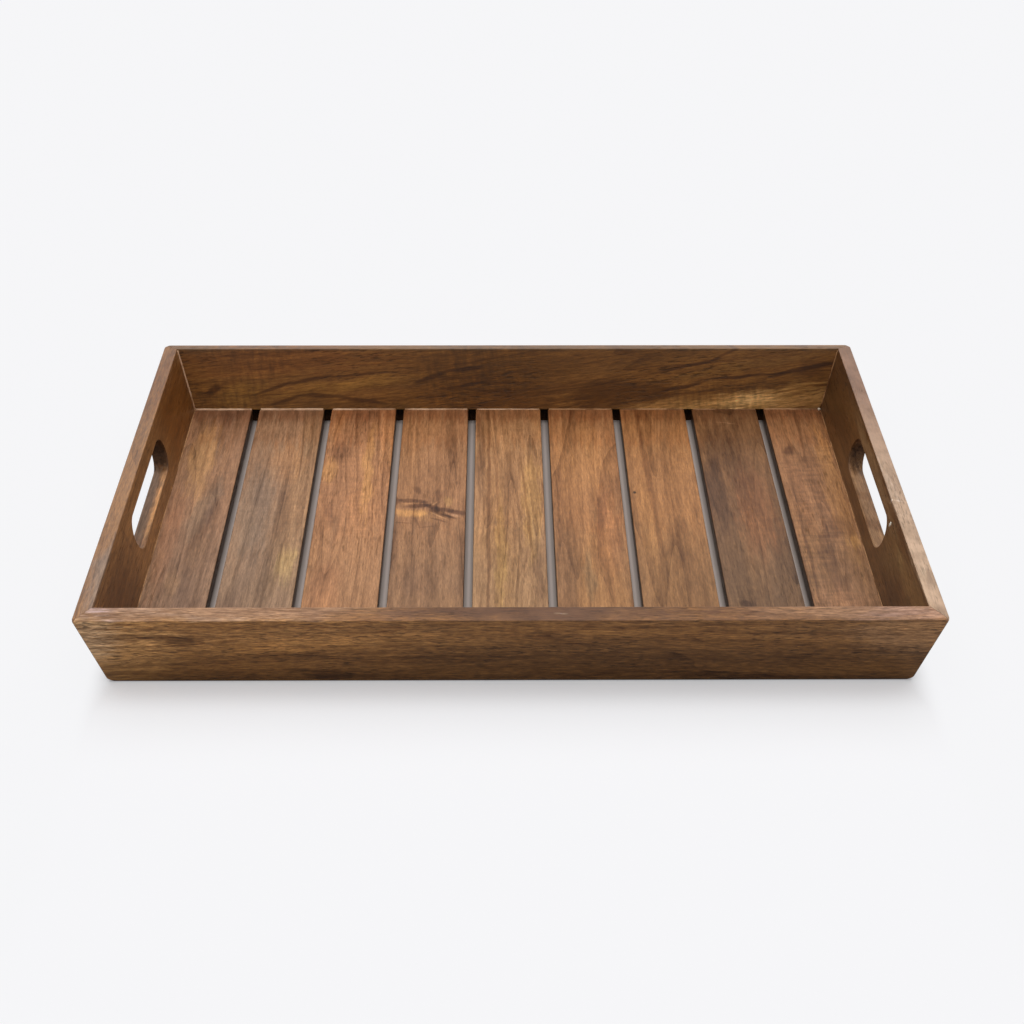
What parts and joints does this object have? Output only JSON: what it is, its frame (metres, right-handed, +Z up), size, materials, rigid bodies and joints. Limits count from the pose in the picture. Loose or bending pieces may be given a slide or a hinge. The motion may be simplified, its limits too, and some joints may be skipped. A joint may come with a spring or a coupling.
{
  "type": "slatted serving tray",
  "caption": "Wooden serving tray with outward-leaning mitred walls, a hand slot through each end wall and a floor of spaced slats held in a rebate.",
  "frame": {"origin": "on the table under the middle of the tray", "axes": "+X along the tray to the right, +Y from front to back, +Z up"},
  "size_m": [0.4994, 0.3364, 0.0556],
  "materials": {
    "wall_wood": "oiled dark brown hardwood, satin",
    "slat_wood_brown": "oiled mid brown hardwood, satin",
    "slat_wood_red": "oiled reddish brown hardwood, satin",
    "slat_wood_golden": "oiled golden brown hardwood, satin",
    "slat_wood_dark": "oiled dark brown hardwood, satin",
    "spline_wood": "bare pale hardwood",
    "brad_steel": "bright drawn wire"
  },
  "bodies": {
    "root": {"wall_front": "wall_wood", "wall_back": "wall_wood", "wall_left": "wall_wood", "wall_right": "wall_wood", "slat_1": "slat_wood_brown", "slat_2": "slat_wood_brown", "slat_3": "slat_wood_red", "slat_4": "slat_wood_red", "slat_5": "slat_wood_golden", "slat_6": "slat_wood_golden", "slat_7": "slat_wood_brown", "slat_8": "slat_wood_dark", "slat_9": "slat_wood_brown", "spline_front_left": "spline_wood", "spline_front_right": "spline_wood", "spline_back_left": "spline_wood", "spline_back_right": "spline_wood", "brad_1_front_left": "brad_steel", "brad_1_front_right": "brad_steel", "brad_1_back_left": "brad_steel", "brad_1_back_right": "brad_steel", "brad_2_front_left": "brad_steel", "brad_2_front_right": "brad_steel", "brad_2_back_left": "brad_steel", "brad_2_back_right": "brad_steel", "brad_3_front_left": "brad_steel", "brad_3_front_right": "brad_steel", "brad_3_back_left": "brad_steel", "brad_3_back_right": "brad_steel", "brad_4_front_left": "brad_steel", "brad_4_front_right": "brad_steel", "brad_4_back_left": "brad_steel", "brad_4_back_right": "brad_steel", "brad_5_front_left": "brad_steel", "brad_5_front_right": "brad_steel", "brad_5_back_left": "brad_steel", "brad_5_back_right": "brad_steel", "brad_6_front_left": "brad_steel", "brad_6_front_right": "brad_steel", "brad_6_back_left": "brad_steel", "brad_6_back_right": "brad_steel", "brad_7_front_left": "brad_steel", "brad_7_front_right": "brad_steel", "brad_7_back_left": "brad_steel", "brad_7_back_right": "brad_steel", "brad_8_front_left": "brad_steel", "brad_8_front_right": "brad_steel", "brad_8_back_left": "brad_steel", "brad_8_back_right": "brad_steel", "brad_9_front_left": "brad_steel", "brad_9_front_right": "brad_steel", "brad_9_back_left": "brad_steel", "brad_9_back_right": "brad_steel"}
  },
  "joints": []
}
